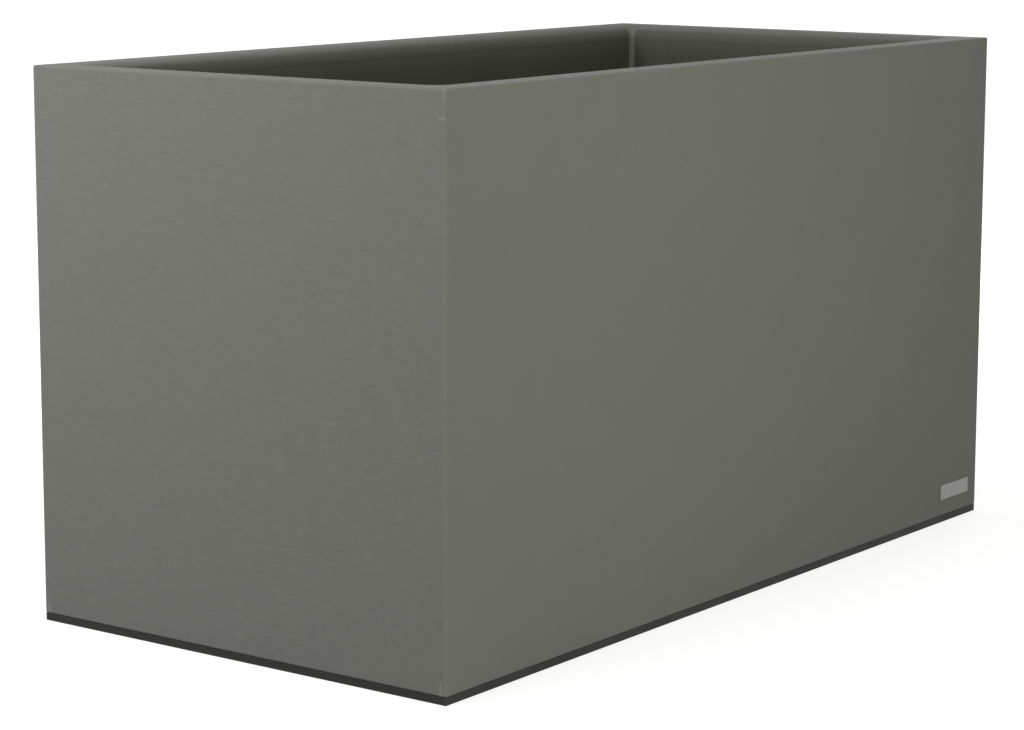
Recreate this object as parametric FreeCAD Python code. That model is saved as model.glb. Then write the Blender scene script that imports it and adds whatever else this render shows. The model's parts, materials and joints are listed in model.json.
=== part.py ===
"""Rectangular balcony planter: painted outer panels, insulation, inner tub, drained base and plinth.

Units are millimetres. The origin is on the ground, under the middle of the planter. X runs along the
length, Y from the front to the back, and Z up.
"""
import FreeCAD, Part
import math
import os

from FreeCAD import Rotation, Vector

# Overall sizes
LENGTH = 800.0
DEPTH = 400.0
HEIGHT = 437.0

# Wall, from the outside in: painted skin, insulation, tub
WALL = 34.0
SKIN = 4.0
TUB_SKIN = 3.0
TUB_REVEAL = 0.2

# Panel edges and the folded rim
EDGE_RADIUS = 1.5
RIM_RADIUS = 12.0
RIM_LEG = 2.0
RIM_CORNER_RADIUS = 4.0

# Inside corner between the tub's walls and its floor
TUB_FLOOR_RADIUS = 3.0

# Angles that join the panels inside the corners
ANGLE_THICKNESS = 2.5
ANGLE_CLEARANCE = 0.5

# Floor, from the ground up: plinth rails, battens, board, insulation
PLINTH_HEIGHT = 6.0
PLINTH_WIDTH = 22.0
PLINTH_INSET = 0.5
PLINTH_DRAIN_GAP = 40.0
PLINTH_CENTRE_LENGTH = 200.0
BATTEN_HEIGHT = 12.0
BATTEN_WIDTH = 20.0
BOARD = 10.0
BOARD_CLEARANCE = 0.3
FLOOR_FOAM = 20.0

# Countersunk screws through the plinth rails into the battens
SCREW_DIAMETER = 4.0
SCREW_HEAD_DIAMETER = 8.0
SCREW_POINT = 3.0
SCREW_SUNK = 0.6
SCREW_COVER = 2.4
SCREW_CLEARANCE = 0.1
SCREW_END_DISTANCE = 60.0
SCREW_SPACING_MAX = 260.0

# Drains: a flanged sleeve, a gasket under its flange and a nut under the board
DRAIN_SPACING = 440.0
DRAIN_BORE = 26.0
DRAIN_WALL = 4.0
DRAIN_TAIL = 3.0
DRAIN_ROUND = 1.0
DRAIN_HOLE_CLEARANCE = 0.8
FLANGE = 3.0
FLANGE_WIDTH = 11.0
FLANGE_ROUND = 1.2
GASKET = 2.0
GASKET_WIDTH = 9.0
GASKET_CLEARANCE = 0.2
NUT_HEIGHT = 8.0
NUT_WALL = 6.0
NUT_FACE_INSET = 1.0
NUT_CHAMFER_ANGLE = 30.0
NUT_CLEARANCE = 0.1

# Plugs that pull up out of the sleeves
PLUG_CLEARANCE = 0.3
PLUG_TAPER = 1.2
PLUG_SHANK = 24.0
PLUG_SHANK_ROUND = 1.5
PLUG_HEAD = 4.0
PLUG_HEAD_OVERLAP = 8.0
PLUG_HEAD_ROUND = 1.5
PLUG_NECK = 5.0
PLUG_NECK_DIAMETER = 12.0
PLUG_NECK_ROUND = 0.8
PLUG_KNOB = 7.0
PLUG_KNOB_DIAMETER = 24.0
PLUG_KNOB_ROUND = 2.0

# Bare plate on the front panel
PLATE_LENGTH = 52.0
PLATE_HEIGHT = 13.5
PLATE_THICKNESS = 0.6
PLATE_CORNER_RADIUS = 1.0
PLATE_FROM_RIGHT = 16.5
PLATE_FROM_GROUND = 21.0

# Heights above the ground that follow from these sizes
BATTEN_TOP = PLINTH_HEIGHT + BATTEN_HEIGHT
BOARD_TOP = BATTEN_TOP + BOARD
TUB_BOTTOM = BOARD_TOP + FLOOR_FOAM
TUB_FLOOR = TUB_BOTTOM + TUB_SKIN
TUB_TOP = HEIGHT - RIM_RADIUS - RIM_LEG
FLANGE_BOTTOM = TUB_FLOOR + GASKET
FLANGE_TOP = FLANGE_BOTTOM + FLANGE
NUT_BOTTOM = BATTEN_TOP - NUT_HEIGHT

# Distances in from the outside faces
TUB_INSIDE = WALL - TUB_REVEAL
TUB_OUTSIDE = TUB_INSIDE - TUB_SKIN
RIM_LEG_OUTSIDE = WALL - SKIN
BATTEN_MIDDLE = SKIN + BATTEN_WIDTH / 2
MITRE_DEPTH = max(WALL, PLINTH_INSET + PLINTH_WIDTH) + RIM_CORNER_RADIUS

DRAIN_TUBE = DRAIN_BORE + 2 * DRAIN_WALL
DRAIN_PLACES = {"left": -DRAIN_SPACING / 2, "right": DRAIN_SPACING / 2}

# A piece of one side is made facing the front, then turned about Z to its place
SIDE_ANGLE = {"front": 0.0, "right": 90.0, "back": 180.0, "left": 270.0}
SIDE_RUN = {"front": LENGTH, "right": DEPTH, "back": LENGTH, "left": DEPTH}
SIDE_REACH = {"front": DEPTH / 2, "right": LENGTH / 2, "back": DEPTH / 2, "left": LENGTH / 2}
CORNERS = {
    "front_left": (-1, -1),
    "front_right": (1, -1),
    "back_left": (-1, 1),
    "back_right": (1, 1),
}
ORIGIN = Vector(0, 0, 0)
UP = Vector(0, 0, 1)
SAME = 0.001


def save(name, shape):
    """Write one node's solids to a file of its own."""
    shape.exportStep(f"parts/{name}.step")


def box(x_low, x_high, y_low, y_high, z_low, z_high):
    """A box between two corners."""
    corner = Vector(x_low, y_low, z_low)
    return Part.makeBox(x_high - x_low, y_high - y_low, z_high - z_low, corner)


def inset_box(inset, z_low, z_high, corner_radius=0.0):
    """A box that stands in from the outside faces all round, with its upright edges rounded."""
    x = LENGTH / 2 - inset
    y = DEPTH / 2 - inset
    block = box(-x, x, -y, y, z_low, z_high)
    if corner_radius == 0:
        return block
    upright = [edge for edge in block.Edges if edge.BoundBox.ZLength > SAME]
    return block.makeFillet(corner_radius, upright)


def round_level_edges(shape, z, inset, radius):
    """Round the level edges at one height that lie as far in from the outside as inset."""
    chosen = []
    for edge in shape.Edges:
        bounds = edge.BoundBox
        level = abs(bounds.ZMin - z) < SAME and abs(bounds.ZMax - z) < SAME
        x_inside = max(bounds.XMax, -bounds.XMin) < LENGTH / 2 - inset + SAME
        y_inside = max(bounds.YMax, -bounds.YMin) < DEPTH / 2 - inset + SAME
        if level and x_inside and y_inside:
            chosen.append(edge)
    return shape.makeFillet(radius, chosen)


def outline(corners, place):
    """A face inside straight lines through corners (a, b, radius), each rounded by its radius."""
    turns = []
    for i, (a, b, radius) in enumerate(corners):
        corner = place(a, b)
        if radius == 0:
            turns.append((corner, None, corner))
            continue
        back = (place(*corners[i - 1][:2]) - corner).normalize()
        ahead = (place(*corners[(i + 1) % len(corners)][:2]) - corner).normalize()
        half = back.getAngle(ahead) / 2
        inward = (back + ahead).normalize()
        run_in = radius / math.tan(half)
        middle = corner + inward * (radius / math.sin(half) - radius)
        turns.append((corner + back * run_in, middle, corner + ahead * run_in))
    edges = []
    for i, (start, middle, end) in enumerate(turns):
        edges.append(Part.makeLine(turns[i - 1][2], start))
        if middle is not None:
            edges.append(Part.Arc(start, middle, end).toShape())
    return Part.Face(Part.Wire(edges))


def turned(corners):
    """A solid of revolution about Z from an outline of (radius, height, corner radius)."""
    return outline(corners, lambda r, z: Vector(r, 0, z)).revolve(ORIGIN, UP, 360)


def at_drain(shape, place):
    """Move a piece from the Z axis to one of the drains."""
    return shape.translated(Vector(DRAIN_PLACES[place], 0, 0))


def with_drain_holes(shape):
    """Cut the holes that the drain sleeves pass through."""
    radius = DRAIN_TUBE / 2 + DRAIN_HOLE_CLEARANCE
    hole = Part.makeCylinder(radius, HEIGHT)
    return shape.cut([at_drain(hole, place) for place in DRAIN_PLACES])


def on_side(shape, side):
    """Turn a piece that faces the front to its own side."""
    placed = shape.copy()
    placed.rotate(ORIGIN, UP, SIDE_ANGLE[side])
    return placed


def mitre_wedge(side):
    """The space, facing the front, between the mitre planes at the two ends of a side."""
    end = SIDE_RUN[side] / 2
    front = -SIDE_REACH[side]
    inner_end = end - MITRE_DEPTH
    inner_front = front + MITRE_DEPTH
    plan = Part.makePolygon([
        Vector(-end, front),
        Vector(end, front),
        Vector(inner_end, inner_front),
        Vector(-inner_end, inner_front),
        Vector(-end, front),
    ])
    return Part.Face(plan).extrude(UP * HEIGHT)


def side_bar(side, inset, width, end_gap, z_low, z_high):
    """A straight bar along one side, facing the front, that ends short of the corners by end_gap."""
    end = SIDE_RUN[side] / 2 - end_gap
    front = inset - SIDE_REACH[side]
    return box(-end, end, front, front + width, z_low, z_high)


def painted_shell():
    """The four panels in one: upright skins whose tops fold inwards, over and down as a rim."""
    block = inset_box(0, PLINTH_HEIGHT, HEIGHT)
    block = block.makeFillet(EDGE_RADIUS, block.Edges)
    mouth = inset_box(WALL, 0, 2 * HEIGHT, RIM_CORNER_RADIUS)
    ring = round_level_edges(block.cut(mouth), HEIGHT, WALL, RIM_RADIUS)
    below_rim = inset_box(SKIN, 0, TUB_TOP)
    leg = inset_box(RIM_LEG_OUTSIDE, 0, HEIGHT, RIM_CORNER_RADIUS + SKIN)
    under_rim = inset_box(SKIN, TUB_TOP, HEIGHT - SKIN).cut(leg)
    under_rim = round_level_edges(under_rim, HEIGHT - SKIN, RIM_LEG_OUTSIDE, RIM_RADIUS - SKIN)
    return ring.cut([below_rim, under_rim])


def make_panels():
    """Part the shell into panels at its mitred corners."""
    shell = painted_shell()
    for side in SIDE_ANGLE:
        save(f"{side}_panel", shell.common(on_side(mitre_wedge(side), side)))


def make_corner_angles():
    """An angle section in each corner of the cavity, bonded to both skins."""
    leg = TUB_OUTSIDE - SKIN - ANGLE_CLEARANCE
    section = [
        (0, 0, 0),
        (leg, 0, 0),
        (leg, ANGLE_THICKNESS, 0),
        (ANGLE_THICKNESS, ANGLE_THICKNESS, ANGLE_THICKNESS),
        (ANGLE_THICKNESS, leg, 0),
        (0, leg, 0),
    ]
    for corner, (x_sign, y_sign) in CORNERS.items():

        def place(a, b):
            x = x_sign * (LENGTH / 2 - SKIN - a)
            y = y_sign * (DEPTH / 2 - SKIN - b)
            return Vector(x, y, BOARD_TOP)

        save(f"corner_angle_{corner}", outline(section, place).extrude(UP * (TUB_TOP - BOARD_TOP)))


def make_tub():
    """The inner tub: thin walls under the rim, rounded corners, a floor with two drain holes."""
    inside_corner = RIM_CORNER_RADIUS + TUB_REVEAL
    outside = inset_box(TUB_OUTSIDE, TUB_BOTTOM, TUB_TOP, inside_corner + TUB_SKIN)
    outside = round_level_edges(outside, TUB_BOTTOM, TUB_OUTSIDE, TUB_FLOOR_RADIUS + TUB_SKIN)
    inside = inset_box(TUB_INSIDE, TUB_FLOOR, TUB_TOP, inside_corner)
    inside = round_level_edges(inside, TUB_FLOOR, TUB_INSIDE, TUB_FLOOR_RADIUS)
    save("inner_tub", with_drain_holes(outside.cut(inside)))


def make_insulation():
    """Boards between the skins and the tub, and under the tub."""
    for side in SIDE_ANGLE:
        board = side_bar(side, SKIN, TUB_OUTSIDE - SKIN, TUB_OUTSIDE, BOARD_TOP, TUB_TOP)
        save(f"foam_{side}", on_side(board, side))
    save("foam_floor", with_drain_holes(inset_box(TUB_OUTSIDE, BOARD_TOP, TUB_BOTTOM)))


def screw_spread(low, high):
    """Evenly spaced screw places along a rail between its two ends."""
    first = low + SCREW_END_DISTANCE
    last = high - SCREW_END_DISTANCE
    steps = math.ceil((last - first) / SCREW_SPACING_MAX)
    return [first + (last - first) * i / steps for i in range(steps + 1)]


def screw_points():
    """The place of every plinth screw, on the middle line of the batten above it."""
    points = []
    for side in SIDE_ANGLE:
        end = SIDE_RUN[side] / 2 - PLINTH_INSET
        spans = [(-end, end)]
        if side == "back":
            spans = [(-end, -PLINTH_DRAIN_GAP / 2), (PLINTH_DRAIN_GAP / 2, end)]
        turn = Rotation(UP, SIDE_ANGLE[side])
        for low, high in spans:
            for x in screw_spread(low, high):
                points.append(turn.multVec(Vector(x, BATTEN_MIDDLE - SIDE_REACH[side], 0)))
    half = PLINTH_CENTRE_LENGTH / 2
    points += [Vector(0, y, 0) for y in screw_spread(-half, half)]
    return points


def screw_form(clearance, head_bottom):
    """A countersunk screw that points up, or with a clearance the hole that it goes in."""
    shank = SCREW_DIAMETER / 2 + clearance
    head = SCREW_HEAD_DIAMETER / 2 + clearance
    tip = BATTEN_TOP - SCREW_COVER
    corners = [
        (0, head_bottom, 0),
        (head, head_bottom, 0),
        (shank, SCREW_SUNK + head - shank, 0),
        (shank, tip - SCREW_POINT, 0),
        (0, tip + clearance, 0),
    ]
    if head_bottom < SCREW_SUNK:
        corners.insert(2, (head, SCREW_SUNK, 0))
    return turned(corners)


def screwed(shape):
    """Cut the screw holes in a rail or batten."""
    hole = screw_form(SCREW_CLEARANCE, 0)
    return shape.cut([hole.translated(point) for point in screw_points()])


def make_base():
    """The board that carries the soil, and the battens under it."""
    board = inset_box(SKIN + BOARD_CLEARANCE, BATTEN_TOP, BOARD_TOP)
    save("base_board", with_drain_holes(board))
    for side in SIDE_ANGLE:
        end_gap = SKIN if side in ("front", "back") else SKIN + BATTEN_WIDTH
        batten = side_bar(side, SKIN, BATTEN_WIDTH, end_gap, PLINTH_HEIGHT, BATTEN_TOP)
        save(f"batten_{side}", screwed(on_side(batten, side)))
    x = BATTEN_WIDTH / 2
    y = DEPTH / 2 - SKIN - BATTEN_WIDTH
    save("batten_centre", screwed(box(-x, x, -y, y, PLINTH_HEIGHT, BATTEN_TOP)))


def make_plinth():
    """Mitred rails under the battens, with a gap at the back where drained water runs out."""
    for side in SIDE_ANGLE:
        bar = side_bar(side, PLINTH_INSET, PLINTH_WIDTH, PLINTH_INSET, 0, PLINTH_HEIGHT)
        rail = screwed(on_side(bar.common(mitre_wedge(side)), side))
        if side != "back":
            save(f"plinth_{side}", rail)
            continue
        x = PLINTH_DRAIN_GAP / 2
        halves = rail.cut(box(-x, x, 0, DEPTH, 0, PLINTH_HEIGHT)).Solids
        for half in halves:
            save("plinth_back_left" if half.CenterOfMass.x < 0 else "plinth_back_right", half)
    x = BATTEN_WIDTH / 2
    y = PLINTH_CENTRE_LENGTH / 2
    save("plinth_centre", screwed(box(-x, x, -y, y, 0, PLINTH_HEIGHT)))
    screw = screw_form(0, SCREW_SUNK)
    save("base_screws", Part.makeCompound([screw.translated(point) for point in screw_points()]))


def drain_sleeve():
    """A flanged sleeve from the tub's floor down through the insulation and the board."""
    bore = DRAIN_BORE / 2
    tube = DRAIN_TUBE / 2
    flange = tube + FLANGE_WIDTH
    bottom = NUT_BOTTOM - DRAIN_TAIL
    return turned([
        (bore, bottom, 0),
        (tube, bottom, DRAIN_ROUND),
        (tube, FLANGE_BOTTOM, 0),
        (flange, FLANGE_BOTTOM, 0),
        (flange, FLANGE_TOP, FLANGE_ROUND),
        (bore, FLANGE_TOP, DRAIN_ROUND),
    ])


def drain_gasket():
    """The ring between the sleeve's flange and the tub's floor."""
    inside = DRAIN_TUBE / 2 + GASKET_CLEARANCE
    outside = DRAIN_TUBE / 2 + GASKET_WIDTH
    return turned([
        (inside, TUB_FLOOR, 0),
        (outside, TUB_FLOOR, 0),
        (outside, FLANGE_BOTTOM, 0),
        (inside, FLANGE_BOTTOM, 0),
    ])


def drain_nut():
    """The hexagon nut that draws the sleeve down against the board, its lower corners turned off."""
    flat = DRAIN_TUBE / 2 + NUT_WALL
    corner = flat / math.cos(math.pi / 6)
    hexagon = Part.makePolygon([
        Vector(corner * math.cos(i * math.pi / 3), corner * math.sin(i * math.pi / 3), NUT_BOTTOM)
        for i in range(7)
    ])
    bore = DRAIN_TUBE / 2 + NUT_CLEARANCE
    face = flat - NUT_FACE_INSET
    spread = NUT_HEIGHT / math.tan(math.radians(NUT_CHAMFER_ANGLE))
    blank = turned([
        (bore, NUT_BOTTOM, 0),
        (face, NUT_BOTTOM, 0),
        (face + spread, BATTEN_TOP, 0),
        (bore, BATTEN_TOP, 0),
    ])
    return Part.Face(hexagon).extrude(UP * NUT_HEIGHT).common(blank)


def drain_plug():
    """A tapered plug with a head that covers the sleeve's mouth and a knob to pull it by."""
    top = DRAIN_BORE / 2 - PLUG_CLEARANCE
    head = DRAIN_BORE / 2 + PLUG_HEAD_OVERLAP
    neck = PLUG_NECK_DIAMETER / 2
    knob = PLUG_KNOB_DIAMETER / 2
    seat = FLANGE_TOP + PLUG_CLEARANCE
    head_top = seat + PLUG_HEAD
    neck_top = head_top + PLUG_NECK
    return turned([
        (0, FLANGE_TOP - PLUG_SHANK, 0),
        (top - PLUG_TAPER, FLANGE_TOP - PLUG_SHANK, PLUG_SHANK_ROUND),
        (top, seat, 0),
        (head, seat, 0),
        (head, head_top, PLUG_HEAD_ROUND),
        (neck, head_top, PLUG_NECK_ROUND),
        (neck, neck_top, PLUG_NECK_ROUND),
        (knob, neck_top, PLUG_KNOB_ROUND),
        (knob, neck_top + PLUG_KNOB, PLUG_KNOB_ROUND),
        (0, neck_top + PLUG_KNOB, 0),
    ])


def make_drains():
    """Two drains in the floor, each with its own fittings."""
    fittings = {
        "sleeve": drain_sleeve(),
        "gasket": drain_gasket(),
        "nut": drain_nut(),
        "plug": drain_plug(),
    }
    for place in DRAIN_PLACES:
        for name, shape in fittings.items():
            save(f"drain_{name}_{place}", at_drain(shape, place))


def make_plate():
    """The bare plate, bonded to the front panel near its lower right corner."""
    x_high = LENGTH / 2 - PLATE_FROM_RIGHT
    x_low = x_high - PLATE_LENGTH
    z_low = PLATE_FROM_GROUND
    z_high = z_low + PLATE_HEIGHT
    corners = [(x_low, z_low), (x_high, z_low), (x_high, z_high), (x_low, z_high)]
    rounded = [(x, z, PLATE_CORNER_RADIUS) for x, z in corners]
    face = outline(rounded, lambda x, z: Vector(x, -DEPTH / 2, z))
    save("name_plate", face.extrude(Vector(0, -PLATE_THICKNESS, 0)))


os.makedirs("parts", exist_ok=True)
make_panels()
make_corner_angles()
make_tub()
make_insulation()
make_base()
make_plinth()
make_drains()
make_plate()
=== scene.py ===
import json
import math

import bmesh
import bpy
from mathutils import Matrix, Vector


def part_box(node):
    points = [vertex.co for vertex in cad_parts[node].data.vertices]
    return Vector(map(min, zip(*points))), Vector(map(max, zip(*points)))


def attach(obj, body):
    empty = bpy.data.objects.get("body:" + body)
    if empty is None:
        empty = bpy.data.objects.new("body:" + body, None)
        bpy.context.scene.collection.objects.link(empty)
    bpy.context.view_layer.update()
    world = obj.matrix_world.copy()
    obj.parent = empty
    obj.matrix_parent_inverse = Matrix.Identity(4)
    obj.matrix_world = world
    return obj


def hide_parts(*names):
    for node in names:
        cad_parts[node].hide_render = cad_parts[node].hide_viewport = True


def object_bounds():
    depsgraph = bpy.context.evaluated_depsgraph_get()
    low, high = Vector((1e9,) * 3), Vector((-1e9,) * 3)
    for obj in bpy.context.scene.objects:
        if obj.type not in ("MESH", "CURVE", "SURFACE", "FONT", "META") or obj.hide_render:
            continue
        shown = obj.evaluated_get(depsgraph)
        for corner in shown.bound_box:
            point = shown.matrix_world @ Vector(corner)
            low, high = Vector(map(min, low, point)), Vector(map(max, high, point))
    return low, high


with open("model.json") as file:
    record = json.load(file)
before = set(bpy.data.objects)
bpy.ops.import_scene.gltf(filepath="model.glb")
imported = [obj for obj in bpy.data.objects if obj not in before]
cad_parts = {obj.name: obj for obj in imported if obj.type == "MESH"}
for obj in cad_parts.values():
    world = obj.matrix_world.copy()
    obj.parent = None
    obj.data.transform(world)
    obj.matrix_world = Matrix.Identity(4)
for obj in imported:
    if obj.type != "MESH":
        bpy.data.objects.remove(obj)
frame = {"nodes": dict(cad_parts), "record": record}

# Lengths are metres in the part's own frame: X along the length, Y from front to back, Z up
CAD_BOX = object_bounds()

# Outside of the painted walls, and how far in from it the inside of the tub lies
WALL_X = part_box("right_panel")[1].x
WALL_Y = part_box("back_panel")[1].y
RIM_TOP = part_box("front_panel")[1].z
WALL_HEIGHT = RIM_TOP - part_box("front_panel")[0].z
TUB_SKIN = 0.003
INSIDE = WALL_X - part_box("inner_tub")[1].x + TUB_SKIN

# Camera, solved from the planter's straight edges in the picture
CAMERA_PLACE = Vector((-1.9616, -1.4133, 0.5840))
CAMERA_YAW = math.radians(36.507)
CAMERA_PITCH = math.radians(9.119)
CAMERA_ROLL = math.radians(0.129)
CAMERA_LENS = 101.48
CAMERA_SENSOR = 36.0
CAMERA_SHIFT_UP = -0.0293

# Light from all round, and square soft boxes as (place, aim, size, watts, colour)
WHITE = (1.0, 1.0, 1.0)
WARM_WHITE = (1.0, 1.0, 0.905)
WORLD_LIGHT = 0.312
SOFT_BOXES = {
    "end_high_box": ((-1.35, 0.3, 1.15), (-0.4, 0.0, 0.3), 0.8, 11.9, WHITE),
    "end_low_box": ((-1.2, 0.55, 0.85), (-0.4, 0.1, 0.3), 0.6, 5.0, WHITE),
    "front_box": ((-0.35, -1.35, 0.62), (-0.2, -0.2, 0.22), 0.9, 10.8, WARM_WHITE),
    "top_box": ((0.0, 0.0, 2.3), (0.0, 0.0, 0.0), 1.8, 5.5, WHITE),
    "back_box": ((0.3, 2.2, 0.6), (0.0, 0.2, 0.22), 1.0, 16.0, WHITE),
    "right_box": ((2.1, 0.2, 0.6), (0.4, 0.0, 0.22), 1.0, 11.0, WHITE),
}

# Colours, as linear light
PAINT = (0.150, 0.153, 0.1385)
# The paint's worn tone, which on the edges also serves as a painted highlight
PAINT_WORN_AND_HIGHLIT = (0.215, 0.215, 0.200)
TUB = (0.0655, 0.0655, 0.056)
PLINTH = (0.025, 0.025, 0.022)
BOARD_FILM = (0.052, 0.034, 0.025)
BATTEN = (0.060, 0.061, 0.062)
FOAM = (0.74, 0.77, 0.79)
FITTING = (0.020, 0.020, 0.021)
SEAL = (0.016, 0.016, 0.016)
PLUG = (0.028, 0.028, 0.029)
ZINC = (0.60, 0.60, 0.58)
ALUMINIUM = (0.62, 0.62, 0.62)
PLATE = (0.226, 0.226, 0.218)
FLOOR = (0.40, 0.40, 0.40)

# Floor: its own glow at the planter and away from it, which keeps it white outside the shadow
FLOOR_SIZE = 40.0
FLOOR_GAP = 0.0005
FLOOR_GLOW_NEAR = 0.74
FLOOR_GLOW_AWAY = 1.0
FLOOR_GLOW_REACH = 0.7

# Smooth noise swings about its middle, mostly between these values
NOISE_MIDDLE = 0.5
NOISE_SWING = (0.3, 0.7)

# Texture of the paint, in cells per metre: along and across the wall, or the same all ways
DASH_CELLS = (98.0, 228.0, 1.0)
THREAD_CELLS = (240.0, 1500.0, 1.0)
CLUMP_CELLS = 42.0
CLOUD_CELLS = 4.5
PEEL_CELLS = 900.0

# Shares of the texture in the paint's tone, and how far the tone swings
THREAD_SHARE = 0.08
CLUMP_SHARE = 0.30
CLOUD_SHARE = 0.16
# Stronger flecks on the end walls: painted light and shade, where light grazes the end walls' texture
FLECK_SHARE_LONG = 0.14
FLECK_SHARE_END = 0.40
TONE_SWING = 0.075

# Flecks: how far from its middle the dash noise starts one and fills it, and their strength in patches
FLECK_START = 0.04
FLECK_FULL = 0.22
PATCH_CELLS = 22.0
PATCH_NOISE = (0.38, 0.60)
PATCH_STRENGTH = (0.65, 1.2)

# Paint on the inside, by depth below the rim: where it thins to a mist, the mist's share and where it ends
OVERSPRAY_START = 0.0018
OVERSPRAY_END = 0.0066
OVERSPRAY_RAGGED = 0.0012
OVERSPRAY_CELLS = 150.0
MIST_SHARE = 0.32
MIST_END = 0.030

# Painted highlight down the inside corners, in the paint's tone, as (full, gone) distances along the long
# and the end walls
CORNER_HIGHLIGHT_ON_LONG_WALL = (0.0036, 0.0044)
CORNER_HIGHLIGHT_ON_END_WALL = (0.0020, 0.0056)

# The painted outside, as (full, gone) distances in from the walls' outside faces
OUTSIDE = (0.018, 0.023)

# Wear and painted highlight on the painted edges, as (full, gone) widths, and lengths at the ends of the
# upright edges
WEAR_AND_HIGHLIGHT_WIDTH = (0.0006, 0.0026)
WEAR_AND_HIGHLIGHT_FOOT_WIDTH = (0.0004, 0.0018)
WEAR_AND_HIGHLIGHT_END_LENGTH = (0.005, 0.011)

# Wear and painted highlight as shares of the worn tone, broken up by noise down to the least share
WEAR_AND_HIGHLIGHT_UPRIGHT = 0.38
WEAR_AND_HIGHLIGHT_ENDS = 1.0
WEAR_RIM = 0.08
WEAR_AND_HIGHLIGHT_FOOT = 0.20
WEAR_AND_HIGHLIGHT_CELLS = 55.0
WEAR_AND_HIGHLIGHT_NOISE = (0.25, 0.75)
WEAR_AND_HIGHLIGHT_LEAST = 0.45

# Dressed spots beside the end walls' corners, (full, gone): a nick below the rim, and a rub at the foot
MARK_DEPTH = (0.0006, 0.0012)
MARK_SHARE = 0.8
NICK_BELOW_RIM = 0.0205
NICK_HALF_HEIGHT = (0.00038, 0.0019)
NICK_WIDTH = (0.0035, 0.0070)
RUB_FROM_CORNER = 0.0048
RUB_HALF_WIDTH = (0.00072, 0.0018)
RUB_HEIGHT = (0.005, 0.0125)

# Mitre lines across the rim's corners, (full, gone), and (none, full) for their start in from the ends
MITRE_HALF_WIDTH = (0.0002, 0.0007)
MITRE_DEPTH = (0.010, 0.012)
MITRE_START = (0.001, 0.003)
MITRE_SHARE = 0.35

# Wire print on the film of the base board
MESH_PITCH = 0.0042
MESH_LINE = 0.35

# Turned pieces: steps round them, along a rounding and along one turn of a thread
TURN_STEPS = 96
ARC_STEPS = 6
THREAD_STEPS = 6
SHARP_ANGLE = math.radians(35.0)

# Plinth screws, head down
SCREW_STEPS = 32
SCREW_HEAD_RADIUS = 0.0040
SCREW_SHANK_RADIUS = 0.0020
SCREW_POINT = 0.003
SCREW_THREAD_DEPTH = 0.0005
SCREW_THREAD_PITCH = 0.0014
SCREW_APART = 3 * SCREW_HEAD_RADIUS
RECESS_DEPTH = 0.0013
RECESS_ARM = 0.0022
RECESS_HALF_WIDTH = 0.00045
RECESS_TAPER = 0.6

# Drain sleeves, with a thread from the foot up to the board
SLEEVE_BORE_RADIUS = 0.013
SLEEVE_TUBE_RADIUS = 0.017
SLEEVE_FLANGE = 0.003
SLEEVE_FLANGE_ROUND = 0.0012
SLEEVE_BORE_ROUND = 0.001
SLEEVE_THREAD_DEPTH = 0.0008
SLEEVE_THREAD_PITCH = 0.002

# Drain plugs, from the foot up: tapered shank with sealing lips, head, neck and fluted knob
PLUG_FOOT_RADIUS = 0.0115
PLUG_SEAT_RADIUS = 0.0127
PLUG_FOOT_ROUND = 0.0015
PLUG_SHANK = 0.0243
PLUG_HEAD = 0.004
PLUG_HEAD_ROUND = 0.0015
PLUG_NECK = 0.005
PLUG_NECK_RADIUS = 0.006
PLUG_NECK_ROUND = 0.0008
PLUG_KNOB_RADIUS = 0.012
PLUG_KNOB_ROUND = 0.002
PLUG_DISH_RADIUS = 0.007
PLUG_DISH_DEPTH = 0.0006
PLUG_LIPS = 4
PLUG_LIP_DEPTH = 0.0007
PLUG_LIP_STEPS = 12
PLUG_FLUTES = 16
PLUG_FLUTE_DEPTH = 0.0006


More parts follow.
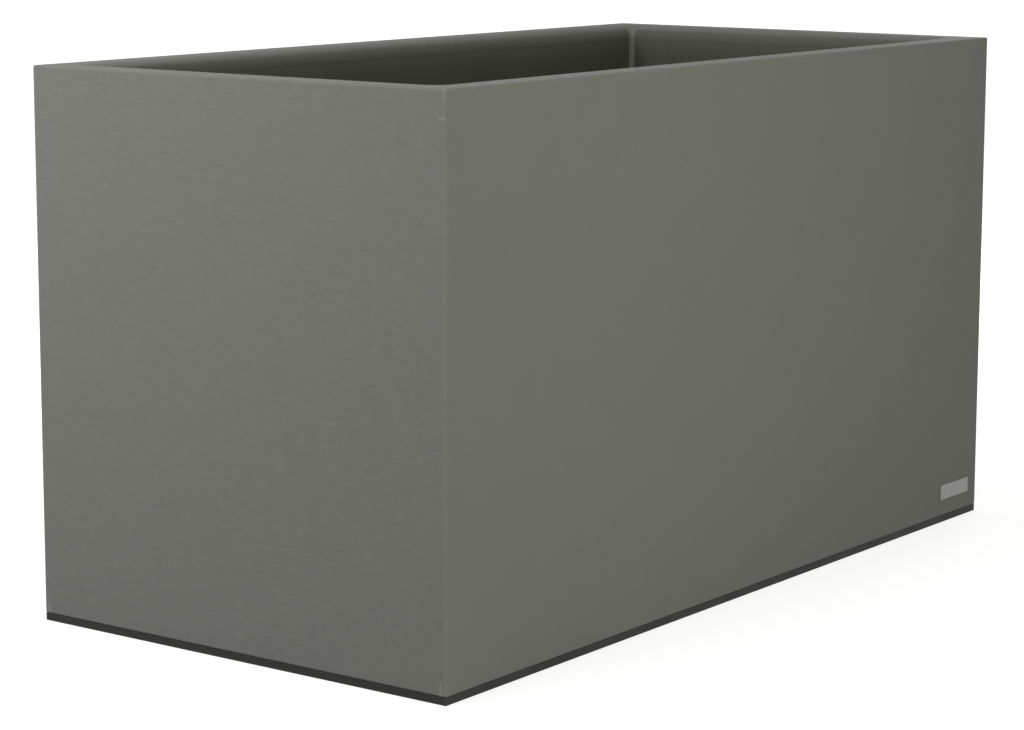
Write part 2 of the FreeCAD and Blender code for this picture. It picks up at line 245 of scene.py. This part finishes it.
class Finish:
    """One procedural material: its shader, and short calls for the nodes that feed it."""

    def __init__(self, name, color, roughness, metallic=0.0, specular=0.5):
        self.material = bpy.data.materials.new(name)
        self.material.use_nodes = True
        self.tree = self.material.node_tree
        self.shader = self.tree.nodes["Principled BSDF"]
        self.color = color
        self.feed(self.shader, "Base Color", (*color, 1.0))
        self.feed(self.shader, "Roughness", roughness)
        self.feed(self.shader, "Metallic", metallic)
        self.feed(self.shader, "Specular IOR Level", specular)
        self.place = self.add("ShaderNodeTexCoord").outputs["Object"]

    def feed(self, node, name, value):
        """Link a socket to an input, or set the input to a plain value."""
        socket = node.inputs[name]
        if isinstance(value, bpy.types.NodeSocket):
            self.tree.links.new(value, socket)
        else:
            socket.default_value = value

    def add(self, kind, inputs=None, **settings):
        """A node with its settings and inputs."""
        node = self.tree.nodes.new(kind)
        for name, value in settings.items():
            setattr(node, name, value)
        for name, value in (inputs or {}).items():
            self.feed(node, name, value)
        return node

    def calc(self, operation, a, b=0.0):
        """One operation on two numbers."""
        return self.add("ShaderNodeMath", {0: a, 1: b}, operation=operation).outputs[0]

    def times(self, first, *others):
        """The product of numbers."""
        for other in others:
            first = self.calc("MULTIPLY", first, other)
        return first

    def most(self, first, *others):
        """The largest of numbers."""
        for other in others:
            first = self.calc("MAXIMUM", first, other)
        return first

    def blend(self, *terms):
        """The sum of (value, weight) terms."""
        total = 0.0
        for value, weight in terms:
            total = self.calc("ADD", total, self.times(value, weight))
        return total

    def split(self, vector):
        """The three numbers of a vector."""
        return self.add("ShaderNodeSeparateXYZ", {0: vector}).outputs

    def join(self, x, y, z):
        """A vector from three numbers."""
        return self.add("ShaderNodeCombineXYZ", {0: x, 1: y, 2: z}).outputs[0]

    def stretch(self, vector, cells):
        """A vector scaled on each axis, so that a noise along it has so many cells per unit."""
        return self.add("ShaderNodeMapping", {"Vector": vector, "Scale": cells}).outputs[0]

    def noise(self, vector, cells=1.0, detail=2.0):
        """Smooth random values, with so many cells per unit of the vector."""
        inputs = {"Vector": vector, "Scale": cells, "Detail": detail}
        return self.add("ShaderNodeTexNoise", inputs).outputs[0]

    def spots(self, vector, cells):
        """Distance from the middles of random cells, so many per unit of the vector."""
        return self.add("ShaderNodeTexVoronoi", {"Vector": vector, "Scale": cells}).outputs[0]

    def span(self, value, low, high, to_low=0.0, to_high=1.0):
        """A value eased from one range to another."""
        inputs = {
            "Value": value,
            "From Min": low,
            "From Max": high,
            "To Min": to_low,
            "To Max": to_high,
        }
        return self.add("ShaderNodeMapRange", inputs, interpolation_type="SMOOTHSTEP").outputs[0]

    def swing(self, noise, to_low, to_high):
        """A value that goes from one end to the other as a noise swings."""
        return self.span(noise, *NOISE_SWING, to_low, to_high)

    def fade(self, value, full, gone):
        """1 up to the full value, and 0 from the gone value on."""
        return self.span(value, full, gone, 1.0, 0.0)

    def near(self, value, target, full, gone):
        """1 within full of a target value, and 0 from gone on."""
        away = self.calc("ABSOLUTE", self.calc("SUBTRACT", value, target))
        return self.fade(away, full, gone)

    def mix(self, share, a, b):
        """A colour between two colours."""
        node = self.add("ShaderNodeMix", {"Factor": share}, data_type="RGBA")
        for index, value in ((6, a), (7, b)):
            self.feed(node, index, (*value, 1.0) if isinstance(value, tuple) else value)
        return node.outputs[2]

    def shade(self, share, spread):
        """The finish's own colour, darker and lighter by a spread as share goes from 0 to 1."""
        dark = tuple(c * (1 - spread) for c in self.color)
        light = tuple(c * (1 + spread) for c in self.color)
        return self.mix(share, dark, light)

    def relief(self, height, depth, strength, below=None):
        """A bump of a real depth, over another bump if one is given."""
        inputs = {"Height": height, "Distance": depth, "Strength": strength}
        if below is not None:
            inputs["Normal"] = below
        return self.add("ShaderNodeBump", inputs).outputs[0]

    def finish(self, color, roughness, normal):
        """Feed the shader what varies over the surface."""
        self.feed(self.shader, "Base Color", color)
        self.feed(self.shader, "Roughness", roughness)
        self.feed(self.shader, "Normal", normal)
        return self.material


def wall_depths(f):
    """How far a point lies in from the end walls, in from the long walls, and below the rim."""
    x, y, z = f.split(f.place)
    from_end = f.calc("SUBTRACT", WALL_X, f.calc("ABSOLUTE", x))
    from_side = f.calc("SUBTRACT", WALL_Y, f.calc("ABSOLUTE", y))
    return from_end, from_side, f.calc("SUBTRACT", RIM_TOP, z)


def edge_wear_and_highlight(f):
    """Worn tone on the box's outside edges, for wear and a painted highlight, broken up as wear is."""
    from_end, from_side, from_rim = wall_depths(f)
    from_foot = f.calc("SUBTRACT", WALL_HEIGHT, from_rim)
    on_end = f.near(from_end, 0.0, *WEAR_AND_HIGHLIGHT_WIDTH)
    on_side = f.near(from_side, 0.0, *WEAR_AND_HIGHLIGHT_WIDTH)
    on_rim = f.near(from_rim, 0.0, *WEAR_AND_HIGHLIGHT_WIDTH)
    on_foot = f.near(from_foot, 0.0, *WEAR_AND_HIGHLIGHT_FOOT_WIDTH)
    at_ends = f.near(f.calc("MINIMUM", from_rim, from_foot), 0.0, *WEAR_AND_HIGHLIGHT_END_LENGTH)
    upright = f.times(on_end, on_side, f.span(at_ends, 0.0, 1.0, WEAR_AND_HIGHLIGHT_UPRIGHT, WEAR_AND_HIGHLIGHT_ENDS))
    edges = f.most(f.times(on_rim, WEAR_RIM), f.times(on_foot, WEAR_AND_HIGHLIGHT_FOOT))
    level = f.times(edges, f.most(on_end, on_side))
    broken = f.span(f.noise(f.place, WEAR_AND_HIGHLIGHT_CELLS, detail=3.0), *WEAR_AND_HIGHLIGHT_NOISE, WEAR_AND_HIGHLIGHT_LEAST, 1.0)
    return f.times(f.most(upright, level), broken)


def corner_marks(f):
    """The dressed spots on the end walls: a nick at the front corners, a rub at the foot of all four."""
    from_end, from_side, from_rim = wall_depths(f)
    from_front = f.calc("ADD", f.split(f.place)[1], WALL_Y)
    beside_corner = f.fade(from_front, *NICK_WIDTH)
    nick = f.times(beside_corner, f.near(from_rim, NICK_BELOW_RIM, *NICK_HALF_HEIGHT))
    at_foot = f.near(from_rim, WALL_HEIGHT, *RUB_HEIGHT)
    rub = f.times(f.near(from_side, RUB_FROM_CORNER, *RUB_HALF_WIDTH), at_foot)
    return f.times(f.most(nick, rub), f.near(from_end, 0.0, *MARK_DEPTH))


def mitre_lines(f):
    """The fine joint lines across the rim at its corners."""
    from_end, from_side, from_rim = wall_depths(f)
    line = f.near(f.calc("SUBTRACT", from_end, from_side), 0.0, *MITRE_HALF_WIDTH)
    on_rim = f.times(f.near(from_rim, 0.0, *MITRE_DEPTH), f.span(from_end, *MITRE_START))
    return f.times(line, on_rim)


def overspray_and_corner_highlight(f):
    """Share of rim paint on the inside, thinning out below the rim, and a painted highlight down the inside
    corners.
    """
    from_end, from_side, from_rim = wall_depths(f)
    ragged = f.calc("ADD", from_rim, f.times(f.noise(f.place, OVERSPRAY_CELLS), OVERSPRAY_RAGGED))
    coat = f.span(ragged, OVERSPRAY_START, OVERSPRAY_END, 1.0, MIST_SHARE)
    mist = f.fade(ragged, OVERSPRAY_END, MIST_END)
    on_long_wall = f.fade(from_end, *(INSIDE + length for length in CORNER_HIGHLIGHT_ON_LONG_WALL))
    on_end_wall = f.fade(from_side, *(INSIDE + length for length in CORNER_HIGHLIGHT_ON_END_WALL))
    # The inside corners take the paint's tone all the way down: a painted highlight of their rounding
    return f.most(f.times(coat, mist), f.times(on_long_wall, on_end_wall))


def paint_flecks(f, dashes):
    """Light and dark flecks, 1 to -1, stronger in patches: tone, and painted light and shade of ridges."""
    light = f.span(dashes, NOISE_MIDDLE + FLECK_START, NOISE_MIDDLE + FLECK_FULL)
    dark = f.fade(dashes, NOISE_MIDDLE - FLECK_FULL, NOISE_MIDDLE - FLECK_START)
    patches = f.span(f.noise(f.place, PATCH_CELLS), *PATCH_NOISE, *PATCH_STRENGTH)
    return f.times(f.calc("SUBTRACT", light, dark), patches)


def painted(name, along, fleck_share):
    """Satin paint with sparse short flecks along the wall, thinning out on the inside of the rim."""
    f = Finish(name, PAINT, roughness=0.65, specular=0.06)
    x, y, z = f.split(f.place)
    run, across = (x, y) if along == "X" else (y, x)
    grain = f.join(run, f.calc("ADD", z, across), 0.0)
    dashes = f.noise(f.stretch(grain, DASH_CELLS))
    flecks = paint_flecks(f, dashes)
    texture = f.blend(
        (flecks, fleck_share),
        (f.noise(f.stretch(grain, THREAD_CELLS)), THREAD_SHARE),
        (f.noise(f.place, CLUMP_CELLS, detail=1.0), CLUMP_SHARE),
        (f.noise(f.place, CLOUD_CELLS), CLOUD_SHARE),
        (NOISE_MIDDLE, 1.0 - THREAD_SHARE - CLUMP_SHARE - CLOUD_SHARE),
    )
    tone = f.shade(texture, TONE_SWING)
    # Worn edges, with a painted highlight on the upright edges, brightest at their ends, and along the foot
    tone = f.mix(edge_wear_and_highlight(f), tone, PAINT_WORN_AND_HIGHLIT)
    tone = f.mix(f.times(corner_marks(f), MARK_SHARE), tone, PAINT_WORN_AND_HIGHLIT)
    tone = f.mix(f.times(mitre_lines(f), MITRE_SHARE), tone, TUB)
    from_end, from_side = wall_depths(f)[:2]
    outside = f.fade(f.calc("MINIMUM", from_end, from_side), *OUTSIDE)
    # Inside, rim paint thins out below the rim, and the inside corners carry a painted highlight
    tone = f.mix(f.most(outside, overspray_and_corner_highlight(f)), TUB, tone)
    rough = f.swing(dashes, to_low=0.6, to_high=0.7)
    peel = f.relief(f.noise(f.place, PEEL_CELLS, detail=1.0), depth=0.00003, strength=0.25)
    return f.finish(tone, rough, f.relief(flecks, depth=0.00009, strength=0.5, below=peel))


def tub_lining():
    """Dark satin lining with faint runs down the walls."""
    f = Finish("tub_lining", TUB, roughness=0.5, specular=0.10)
    runs = f.noise(f.stretch(f.place, cells=(26.0, 26.0, 3.0)), detail=3.0)
    specks = f.noise(f.place, cells=420.0)
    tone = f.shade(f.blend((runs, 0.7), (specks, 0.3)), spread=0.3)
    # Rim paint below the rim, and a painted highlight down the inside corners
    tone = f.mix(overspray_and_corner_highlight(f), tone, PAINT)
    rough = f.swing(runs, to_low=0.45, to_high=0.56)
    return f.finish(tone, rough, f.relief(specks, depth=0.00008, strength=0.4))


def plinth_plastic():
    """Black plastic with scuffs and a little dust."""
    f = Finish("plinth_plastic", PLINTH, roughness=0.5, specular=0.15)
    grain = f.noise(f.place, cells=700.0)
    scratches = f.noise(f.stretch(f.place, cells=(60.0, 60.0, 500.0)), detail=3.0)
    scuffs = f.span(scratches, low=0.5, high=0.8)
    dust = f.noise(f.place, cells=30.0, detail=3.0)
    tone = f.shade(f.blend((dust, 0.7), (scuffs, 0.3)), spread=0.3)
    rough = f.swing(dust, to_low=0.45, to_high=0.6)
    return f.finish(tone, rough, f.relief(grain, depth=0.00006, strength=0.5))


def film_faced_board():
    """Brown film on plywood, with the print of a wire mesh."""
    f = Finish("film_faced_board", BOARD_FILM, roughness=0.4, specular=0.45)
    x, y = f.split(f.place)[:2]
    wires = []
    for direction in (f.calc("ADD", x, y), f.calc("SUBTRACT", x, y)):
        wave = f.calc("SINE", f.times(direction, 2 * math.pi / MESH_PITCH))
        wires.append(f.near(wave, 0.0, full=0.0, gone=MESH_LINE))
    grain = f.noise(f.stretch(f.place, cells=(3.0, 40.0, 40.0)), detail=4.0)
    tone = f.shade(grain, spread=0.3)
    rough = f.swing(grain, to_low=0.34, to_high=0.48)
    return f.finish(tone, rough, f.relief(f.most(*wires), depth=0.00012, strength=0.6))


def batten_plastic():
    """Dark recycled plastic with flow streaks and pale specks."""
    f = Finish("batten_plastic", BATTEN, roughness=0.6, specular=0.4)
    flow = f.noise(f.stretch(f.place, cells=(12.0, 12.0, 90.0)), detail=4.0)
    specks = f.near(f.spots(f.place, cells=190.0), 0.0, full=0.0, gone=0.12)
    speck_share = 0.35
    tone = f.mix(f.times(specks, speck_share), f.shade(flow, spread=0.35), FOAM)
    rough = f.swing(flow, to_low=0.52, to_high=0.68)
    return f.finish(tone, rough, f.relief(flow, depth=0.0002, strength=0.4))


def foam_board():
    """Pale foam of pressed beads."""
    f = Finish("foam_board", FOAM, roughness=0.75, specular=0.3)
    beads = f.spots(f.place, cells=260.0)
    tone = f.shade(f.span(beads, low=0.1, high=0.7), spread=0.08)
    rough = f.span(beads, low=0.0, high=0.8, to_low=0.68, to_high=0.82)
    return f.finish(tone, rough, f.relief(beads, depth=0.0004, strength=0.6))


def moulded(name, color, roughness, bloom):
    """Moulded plastic or rubber: fine grain, with a pale bloom where it is old."""
    f = Finish(name, color, roughness, specular=0.4)
    grain = f.noise(f.place, cells=1100.0)
    haze = f.noise(f.place, cells=70.0, detail=3.0)
    pale = f.times(f.span(haze, low=0.5, high=0.8), bloom)
    tone = f.mix(pale, f.shade(haze, spread=0.2), FOAM)
    rough = f.swing(haze, to_low=roughness - 0.06, to_high=roughness + 0.08)
    return f.finish(tone, rough, f.relief(grain, depth=0.00005, strength=0.5))


def brushed_metal(name, color, roughness, metallic, line_cells):
    """Metal with fine brush lines along one axis."""
    f = Finish(name, color, roughness, metallic)
    lines = f.noise(f.stretch(f.place, line_cells), detail=3.0)
    stain = f.noise(f.place, cells=60.0)
    tone = f.shade(f.blend((lines, 0.6), (stain, 0.4)), spread=0.16)
    rough = f.span(lines, low=0.25, high=0.75, to_low=roughness - 0.08, to_high=roughness + 0.08)
    return f.finish(tone, rough, f.relief(lines, depth=0.00003, strength=0.5))


def zinc_plated():
    """Bright plating with cloudy crystals."""
    f = Finish("zinc_plated", ZINC, roughness=0.34, metallic=1.0)
    spangle = f.spots(f.place, cells=900.0)
    cloud = f.noise(f.place, cells=300.0, detail=3.0)
    tone = f.shade(f.blend((spangle, 0.4), (cloud, 0.6)), spread=0.22)
    rough = f.swing(cloud, to_low=0.26, to_high=0.44)
    return f.finish(tone, rough, f.relief(spangle, depth=0.00002, strength=0.4))


def dress_frame(finishes):
    """Give every shape of the frame the finish of its slot."""
    for part in frame["record"]["subparts"]:
        finish = finishes[part["material_slot"]]
        if part["node"] in ("left_panel", "right_panel"):
            finish = finishes["painted_end"]
        data = frame["nodes"][part["node"]].data
        data.materials.clear()
        data.materials.append(finish)


def rounded(corners):
    """A profile of (radius, height) points through corners (radius, height, rounding)."""
    points = []
    for i, (radius, height, rounding) in enumerate(corners):
        corner = Vector((radius, height))
        if rounding == 0:
            points.append(corner)
            continue
        back = (Vector(corners[i - 1][:2]) - corner).normalized()
        ahead = (Vector(corners[i + 1][:2]) - corner).normalized()
        half = back.angle(ahead) / 2
        middle = corner + (back + ahead).normalized() * (rounding / math.sin(half))
        start = corner + back * (rounding / math.tan(half)) - middle
        end = corner + ahead * (rounding / math.tan(half)) - middle
        turn = math.atan2(start.cross(end), start.dot(end))
        for step in range(ARC_STEPS + 1):
            points.append(middle + Matrix.Rotation(turn * step / ARC_STEPS, 2) @ start)
    return points


def ring(reach, height, count):
    """Points about Z at one height, each as far out as reach gives for its angle."""
    angles = [2 * math.pi * i / count for i in range(count)]
    return [Vector((reach(a) * math.cos(a), reach(a) * math.sin(a), height)) for a in angles]


def spun(profile, count, form=lambda radius, height, angle: radius):
    """Rings about Z along a profile of (radius, height); form changes the radius by angle."""
    rings = []
    for radius, height in profile:
        if radius == 0:
            rings.append([Vector((0.0, 0.0, height))])
        else:
            rings.append(ring(lambda angle: form(radius, height, angle), height, count))
    return rings


def saw_tooth(height, angle, pitch):
    """Depth of a screw thread, from 0 at its crest to 1 at its root."""
    turn = (height / pitch - angle / (2 * math.pi)) % 1.0
    return 1.0 - abs(2.0 * turn - 1.0)


def loop_mesh(name, rings, places, closed=False):
    """A mesh of rings of points, each joined to the next, repeated at every place."""
    mesh = bmesh.new()
    for place in places:
        made = [[mesh.verts.new(point + place) for point in points] for points in rings]
        if closed:
            made.append(made[0])
        for lower, upper in zip(made, made[1:]):
            count = max(len(lower), len(upper))
            for i in range(count):
                j = (i + 1) % count
                corners = [row[k % len(row)] for row, k in ((lower, i), (lower, j), (upper, j), (upper, i))]
                mesh.faces.new(list(dict.fromkeys(corners)))
    bmesh.ops.recalc_face_normals(mesh, faces=mesh.faces)
    data = bpy.data.meshes.new(name)
    mesh.to_mesh(data)
    mesh.free()
    data.shade_smooth()
    data.set_sharp_from_angle(angle=SHARP_ANGLE)
    return data


def add_piece(name, data, finish, body, replaced):
    """Put a mesh in the scene in place of a node of the frame."""
    piece = bpy.data.objects.new(name, data)
    bpy.context.scene.collection.objects.link(piece)
    data.materials.append(finish)
    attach(piece, body)
    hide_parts(replaced)


def foot_of(node):
    """The middle of a node's underside."""
    low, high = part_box(node)
    return Vector(((low.x + high.x) / 2, (low.y + high.y) / 2, low.z))


def screw_places():
    """The middle of each plinth screw's head, found from the screws of the frame."""
    groups = []
    for vertex in frame["nodes"]["base_screws"].data.vertices:
        group = next((g for g in groups if (g[0] - vertex.co).xy.length < SCREW_APART), None)
        if group is None:
            groups.append([vertex.co])
        else:
            group.append(vertex.co)
    places = []
    for group in groups:
        middle = [(min(axis) + max(axis)) / 2 for axis in zip(*group)]
        places.append(Vector((middle[0], middle[1], min(point.z for point in group))))
    return places


def cross_reach(angle):
    """How far a cross recess reaches in one direction."""
    along = max(abs(math.cos(angle)), abs(math.sin(angle)))
    aside = min(abs(math.cos(angle)), abs(math.sin(angle)))
    if aside * RECESS_ARM < along * RECESS_HALF_WIDTH:
        return RECESS_ARM / along
    return RECESS_HALF_WIDTH / aside


def add_screws(finish):
    """Countersunk screws with a cross recess and a thread, in place of the plain ones."""
    low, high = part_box("base_screws")
    length = high.z - low.z
    neck = SCREW_HEAD_RADIUS - SCREW_SHANK_RADIUS
    rings = [
        [Vector((0.0, 0.0, RECESS_DEPTH))],
        ring(lambda angle: cross_reach(angle) * RECESS_TAPER, RECESS_DEPTH, SCREW_STEPS),
        ring(cross_reach, 0.0, SCREW_STEPS),
    ]
    rings += spun([(SCREW_HEAD_RADIUS, 0.0)], SCREW_STEPS)
    thread = length - SCREW_POINT - neck
    steps = round(thread / SCREW_THREAD_PITCH * THREAD_STEPS)
    shank = [(SCREW_SHANK_RADIUS, neck + thread / steps * i) for i in range(steps + 1)]

    def threaded(radius, height, angle):
        return radius - SCREW_THREAD_DEPTH * saw_tooth(height, angle, SCREW_THREAD_PITCH)

    rings += spun(shank, SCREW_STEPS, threaded)
    rings.append([Vector((0.0, 0.0, length))])
    data = loop_mesh("plinth_screws", rings, screw_places())
    add_piece("plinth_screws", data, finish, "planter", "base_screws")


def add_sleeve(place, finish):
    """A drain sleeve with its thread, in place of the smooth one."""
    node = f"drain_sleeve_{place}"
    low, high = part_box(node)
    top = high.z - low.z
    flange = (high.x - low.x) / 2
    threaded_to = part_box("base_board")[0].z - low.z
    steps = round(threaded_to / SLEEVE_THREAD_PITCH * THREAD_STEPS)
    thread = [(SLEEVE_TUBE_RADIUS, threaded_to * i / steps) for i in range(steps + 1)]
    above = rounded([
        (SLEEVE_TUBE_RADIUS, top - SLEEVE_FLANGE, 0),
        (flange, top - SLEEVE_FLANGE, 0),
        (flange, top, SLEEVE_FLANGE_ROUND),
        (SLEEVE_BORE_RADIUS, top, SLEEVE_BORE_ROUND),
        (SLEEVE_BORE_RADIUS, 0.0, 0),
    ])

    def form(radius, height, angle):
        if radius < SLEEVE_TUBE_RADIUS or height >= threaded_to:
            return radius
        return radius - SLEEVE_THREAD_DEPTH * saw_tooth(height, angle, SLEEVE_THREAD_PITCH)

    name = f"threaded_sleeve_{place}"
    data = loop_mesh(name, spun(thread + above, TURN_STEPS, form), [foot_of(node)], closed=True)
    add_piece(name, data, finish, "planter", node)


def lipped_shank():
    """The profile of a plug's shank: a taper with grooves that leave sealing lips between them."""
    taper = (PLUG_SEAT_RADIUS - PLUG_FOOT_RADIUS) / PLUG_SHANK
    lip_pitch = (PLUG_SHANK - 2 * PLUG_FOOT_ROUND) / PLUG_LIPS
    foot = rounded([
        (0, 0, 0),
        (PLUG_FOOT_RADIUS, 0, PLUG_FOOT_ROUND),
        (PLUG_FOOT_RADIUS + taper * PLUG_FOOT_ROUND, PLUG_FOOT_ROUND, 0),
    ])
    lips = []
    for i in range(1, PLUG_LIPS * PLUG_LIP_STEPS + 1):
        rise = lip_pitch * i / PLUG_LIP_STEPS
        height = PLUG_FOOT_ROUND + rise
        groove = PLUG_LIP_DEPTH * (1 - abs(math.cos(math.pi * rise / lip_pitch)))
        lips.append((PLUG_FOOT_RADIUS + taper * height - groove, height))
    return foot + lips


def add_plug(place, finish):
    """A drain plug with sealing lips and a fluted knob, in place of the smooth one."""
    node = f"drain_plug_{place}"
    low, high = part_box(node)
    top = high.z - low.z
    head = (high.x - low.x) / 2
    head_top = PLUG_SHANK + PLUG_HEAD
    neck_top = head_top + PLUG_NECK
    above = rounded([
        (PLUG_SEAT_RADIUS, PLUG_SHANK, 0),
        (head, PLUG_SHANK, 0),
        (head, head_top, PLUG_HEAD_ROUND),
        (PLUG_NECK_RADIUS, head_top, PLUG_NECK_ROUND),
        (PLUG_NECK_RADIUS, neck_top, PLUG_NECK_ROUND),
        (PLUG_KNOB_RADIUS, neck_top, PLUG_KNOB_ROUND),
        (PLUG_KNOB_RADIUS, top, PLUG_KNOB_ROUND),
        (PLUG_DISH_RADIUS, top, PLUG_DISH_DEPTH),
        (PLUG_DISH_RADIUS - PLUG_DISH_DEPTH, top - PLUG_DISH_DEPTH, 0),
        (0, top - PLUG_DISH_DEPTH, 0),
    ])

    def fluted(radius, height, angle):
        if height < neck_top or radius <= PLUG_DISH_RADIUS:
            return radius
        rim = (radius - PLUG_DISH_RADIUS) / (PLUG_KNOB_RADIUS - PLUG_DISH_RADIUS)
        return radius - PLUG_FLUTE_DEPTH * rim * (1 - math.cos(PLUG_FLUTES * angle)) / 2

    name = f"lipped_plug_{place}"
    data = loop_mesh(name, spun(lipped_shank() + above, TURN_STEPS, fluted), [foot_of(node)])
    add_piece(name, data, finish, f"plug_{place}", node)


def seen_rays(tree):
    """1 for rays that show a surface directly, in gloss or through glass, and 0 for rays that light."""
    path = tree.nodes.new("ShaderNodeLightPath").outputs
    seen = path["Is Camera Ray"]
    for name in ("Is Glossy Ray", "Is Transmission Ray"):
        either = tree.nodes.new("ShaderNodeMath")
        either.operation = "MAXIMUM"
        tree.links.new(seen, either.inputs[0])
        tree.links.new(path[name], either.inputs[1])
        seen = either.outputs[0]
    return seen


def floor_finish():
    """A pale surface that shows white where no shadow falls, and is clear from below."""
    f = Finish("floor", FLOOR, roughness=0.8, specular=0.0)
    from_end, from_side = wall_depths(f)[:2]
    away = f.times(f.calc("MINIMUM", from_end, from_side), -1.0)
    glow = f.span(away, 0.0, FLOOR_GLOW_REACH, FLOOR_GLOW_NEAR, FLOOR_GLOW_AWAY)
    f.feed(f.shader, "Emission Color", (*WHITE, 1.0))
    f.feed(f.shader, "Emission Strength", f.times(seen_rays(f.tree), glow))
    clear = f.add("ShaderNodeBsdfTransparent").outputs[0]
    below = f.add("ShaderNodeNewGeometry").outputs["Backfacing"]
    both = f.add("ShaderNodeMixShader", {0: below, 1: f.shader.outputs[0], 2: clear})
    f.feed(f.tree.nodes["Material Output"], "Surface", both.outputs[0])
    return f.material


def add_floor():
    """The floor that the planter stands on."""
    mesh = bmesh.new()
    bmesh.ops.create_grid(mesh, x_segments=1, y_segments=1, size=FLOOR_SIZE / 2)
    data = bpy.data.meshes.new("floor")
    mesh.to_mesh(data)
    mesh.free()
    data.materials.append(floor_finish())
    floor = bpy.data.objects.new("floor", data)
    floor.location.z = CAD_BOX[0].z - FLOOR_GAP
    bpy.context.scene.collection.objects.link(floor)


def add_world():
    """Soft light from all round, on a background that is seen as white."""
    world = bpy.data.worlds.new("studio")
    bpy.context.scene.world = world
    world.use_nodes = True
    tree = world.node_tree
    level = tree.nodes.new("ShaderNodeMapRange")
    level.inputs["To Min"].default_value = WORLD_LIGHT
    level.inputs["To Max"].default_value = 1.0
    shade = tree.nodes["Background"]
    shade.inputs["Color"].default_value = (*WHITE, 1.0)
    tree.links.new(seen_rays(tree), level.inputs["Value"])
    tree.links.new(level.outputs[0], shade.inputs["Strength"])


def add_lights():
    """Plain soft boxes round the planter."""
    for name, (place, aim, size, watts, color) in SOFT_BOXES.items():
        lamp = bpy.data.lights.new(name, "AREA")
        lamp.shape = "SQUARE"
        lamp.size = size
        lamp.energy = watts
        lamp.color = color
        shown = bpy.data.objects.new(name, lamp)
        shown.location = place
        shown.rotation_euler = (Vector(aim) - Vector(place)).to_track_quat("-Z", "Y").to_euler()
        bpy.context.scene.collection.objects.link(shown)


def add_camera():
    """The picture's own view."""
    level = math.cos(CAMERA_PITCH)
    ahead = Vector((math.cos(CAMERA_YAW) * level, math.sin(CAMERA_YAW) * level, -math.sin(CAMERA_PITCH)))
    right = Vector((math.sin(CAMERA_YAW), -math.cos(CAMERA_YAW), 0.0))
    up = right.cross(ahead)
    rolled_right = right * math.cos(CAMERA_ROLL) + up * math.sin(CAMERA_ROLL)
    rolled_up = up * math.cos(CAMERA_ROLL) - right * math.sin(CAMERA_ROLL)
    turn = Matrix((rolled_right, rolled_up, -ahead)).transposed()
    data = bpy.data.cameras.new("camera")
    data.lens = CAMERA_LENS
    data.sensor_width = CAMERA_SENSOR
    data.shift_y = CAMERA_SHIFT_UP
    camera = bpy.data.objects.new("camera", data)
    camera.matrix_world = Matrix.Translation(CAMERA_PLACE) @ turn.to_4x4()
    bpy.context.scene.collection.objects.link(camera)
    bpy.context.scene.camera = camera


FINISHES = {
    "painted_skin": painted("paint_long_walls", "X", FLECK_SHARE_LONG),
    # The end walls' copy of the paint has stronger flecks: painted light and shade of its texture
    "painted_end": painted("paint_end_walls", "Y", FLECK_SHARE_END),
    "tub_black": tub_lining(),
    "insulation": foam_board(),
    "angle_metal": brushed_metal(
        "angle_aluminium", ALUMINIUM, roughness=0.38, metallic=1.0, line_cells=(900.0, 900.0, 12.0)
    ),
    "film_faced_board": film_faced_board(),
    "batten_plastic": batten_plastic(),
    "plinth_black": plinth_plastic(),
    "screw_steel": zinc_plated(),
    "fitting_plastic": moulded("fitting_plastic", FITTING, roughness=0.42, bloom=0.02),
    "seal_rubber": moulded("seal_rubber", SEAL, roughness=0.62, bloom=0.03),
    "plug_rubber": moulded("plug_rubber", PLUG, roughness=0.58, bloom=0.05),
    "plate_metal": brushed_metal(
        "plate_aluminium", PLATE, roughness=0.42, metallic=0.6, line_cells=(14.0, 1500.0, 1500.0)
    ),
}
dress_frame(FINISHES)
add_screws(FINISHES["screw_steel"])
for drain in ("left", "right"):
    add_sleeve(drain, FINISHES["fitting_plastic"])
    add_plug(drain, FINISHES["plug_rubber"])
add_floor()
add_world()
add_lights()
add_camera()
bpy.context.scene.view_settings.view_transform = "Standard"
